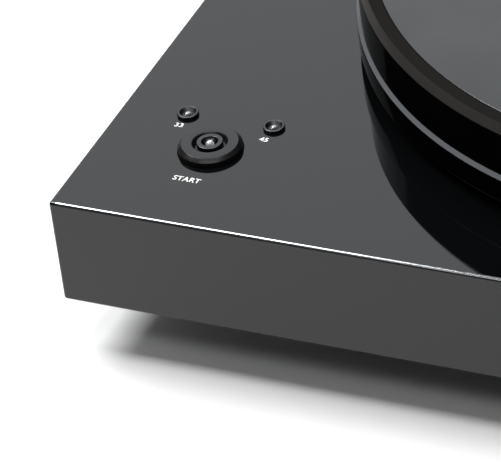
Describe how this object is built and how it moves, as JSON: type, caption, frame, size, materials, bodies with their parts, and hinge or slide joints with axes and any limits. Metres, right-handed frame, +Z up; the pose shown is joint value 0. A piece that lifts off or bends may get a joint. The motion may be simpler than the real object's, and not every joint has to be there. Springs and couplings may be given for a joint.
{
  "type": "turntable record player",
  "caption": "Belt-drive record player: gloss-black plinth on feet, heavy stepped platter on a sub-platter, gimbal tonearm, round start button and speed lamps.",
  "frame": {"origin": "on the resting surface, under the middle of the plinth's rectangle", "axes": "+X to the right seen from the front, +Y to the back, +Z up; the start button is at -X, -Y"},
  "size_m": [0.46, 0.345, 0.137],
  "materials": {
    "lacquer_black": "piano-gloss black lacquer on fibreboard",
    "cover_board": "matt black moulded sheet",
    "screw_black": "black-oxide steel",
    "foot_plastic": "gloss black moulding",
    "foot_rubber": "matt black rubber",
    "bearing_brass": "turned brass",
    "bush_bronze": "sintered bronze",
    "steel_bright": "bright turned steel",
    "subplatter_plastic": "matt black moulding",
    "platter_gloss": "gloss black cast aluminium",
    "mat_black": "smooth dark mat",
    "belt_rubber": "ground flat rubber belt",
    "motor_steel": "zinc-plated steel",
    "button_black": "gloss black anodised disc",
    "switch_plastic": "matt black moulding",
    "board_green": "solder-masked board",
    "lamp_lens": "clear lens",
    "black_chrome": "black chrome",
    "loom_black": "black insulated leads",
    "panel_black": "satin black steel",
    "socket_gold": "gold-plated brass",
    "arm_black": "satin black anodised",
    "arm_silver": "satin silver anodised",
    "cartridge_plastic": "matt black moulding",
    "stylus_plastic": "dark red translucent moulding"
  },
  "bodies": {
    "base": {"plinth": "lacquer_black", "bottom_cover": "cover_board", "cover_screws": "screw_black", "foot_bodies": "foot_plastic", "foot_pads": "foot_rubber", "foot_screws": "screw_black", "bearing_housing": "bearing_brass", "bearing_bushes": "bush_bronze", "bearing_nut": "bearing_brass", "thrust_ball": "steel_bright", "drive_belt": "belt_rubber", "motor_can": "motor_steel", "motor_isolators": "foot_rubber", "motor_screws": "screw_black", "start_switch": "switch_plastic", "switch_board": "board_green", "board_screws": "steel_bright", "lamp_bezels": "black_chrome", "speed_lamps": "lamp_lens", "control_board": "board_green", "wiring": "loom_black", "connection_panel": "panel_black", "panel_screws": "screw_black", "rca_sockets": "socket_gold", "ground_post": "socket_gold", "dc_inlet": "switch_plastic", "arm_base": "arm_black", "arm_base_screws": "screw_black"},
    "platter_group": {"platter": "platter_gloss", "record_mat": "mat_black", "subplatter": "subplatter_plastic", "bearing_spindle": "steel_bright"},
    "motor_spindle": {"motor_pulley": "bearing_brass", "motor_rotor": "motor_steel"},
    "start": {"start_button": "button_black", "button_retainer": "steel_bright", "start_lamp_bezel": "black_chrome", "start_lamp": "lamp_lens"},
    "earth_nut": {"ground_nut": "socket_gold"},
    "height_lock": {"height_lock_screw": "screw_black"},
    "arm_mast": {"arm_pillar": "arm_silver", "swing_bearings": "steel_bright", "arm_platform": "arm_black", "lift_cylinder": "arm_black", "arm_rest": "arm_black"},
    "antiskate": {"antiskate_dial": "arm_black"},
    "lever": {"cue_lever": "arm_silver"},
    "lift": {"lift_bar": "arm_black"},
    "yoke": {"gimbal_yoke": "arm_black", "pivot_bearings": "steel_bright"},
    "arm": {"pivot_block": "arm_black", "arm_tube": "arm_silver", "headshell": "arm_silver", "finger_lift": "arm_silver", "cartridge_body": "cartridge_plastic", "stylus_unit": "stylus_plastic", "cartridge_screws": "steel_bright"},
    "weight": {"counterweight": "arm_black"},
    "dial": {"force_dial": "arm_silver"}
  },
  "joints": [
    {"name": "platter_spin", "type": "hinge", "parent": "base", "child": "platter_group", "pos_m": [-0.0255, 0, 0.062], "axis": [0, 0, -1], "continuous": true},
    {"name": "pulley_spin", "type": "hinge", "parent": "base", "child": "motor_spindle", "pos_m": [-0.1113, 0.07199, 0.062], "axis": [0, 0, -1], "continuous": true},
    {"name": "start_press", "type": "slide", "parent": "base", "child": "start", "axis": [0, 0, -1], "range_m": [0, 0.0015], "stiffness_N_per_m": 900, "springref_m": -0.001},
    {"name": "earth_nut_turn", "type": "hinge", "parent": "base", "child": "earth_nut", "pos_m": [0.072, 0.166, 0.037], "axis": [0, 1, 0], "range_deg": [0, 720]},
    {"name": "height_lock_turn", "type": "hinge", "parent": "base", "child": "height_lock", "pos_m": [0.1665, 0.088, 0.072], "axis": [1, 0, 0], "range_deg": [0, 360]},
    {"name": "arm_height", "type": "slide", "parent": "base", "child": "arm_mast", "axis": [0, 0, 1], "range_m": [0, 0.006]},
    {"name": "antiskate_turn", "type": "hinge", "parent": "arm_mast", "child": "antiskate", "pos_m": [0.1955, 0.071, 0.1], "axis": [0, 0, 1], "range_deg": [0, 270]},
    {"name": "cue_lever_turn", "type": "hinge", "parent": "arm_mast", "child": "lever", "pos_m": [0.14748, 0.05142, 0.1006], "axis": [1, 0, 0], "range_deg": [0, 64]},
    {"name": "lift_drop", "type": "slide", "parent": "arm_mast", "child": "lift", "axis": [0, 0, -1], "range_m": [0, 0.0045]},
    {"name": "arm_swing", "type": "hinge", "parent": "arm_mast", "child": "yoke", "pos_m": [0.1665, 0.088, 0.12], "axis": [0, 0, -1], "range_deg": [0, 50]},
    {"name": "arm_tilt", "type": "hinge", "parent": "yoke", "child": "arm", "pos_m": [0.1665, 0.088, 0.12], "axis": [-1, 0, 0], "range_deg": [-0.7, 8]},
    {"name": "counterweight_slide", "type": "slide", "parent": "arm", "child": "weight", "axis": [0, 1, 0], "range_m": [-0.004, 0.01]},
    {"name": "force_dial_turn", "type": "hinge", "parent": "weight", "child": "dial", "pos_m": [0.1665, 0.11, 0.12], "axis": [0, 1, 0], "range_deg": [-150, 150]}
  ],
  "couplings": [
    {"joint": "pulley_spin", "follows": "platter_spin", "ratio": 9.7574},
    {"joint": "lift_drop", "follows": "cue_lever_turn", "m_per_rad": 0.004028}
  ]
}
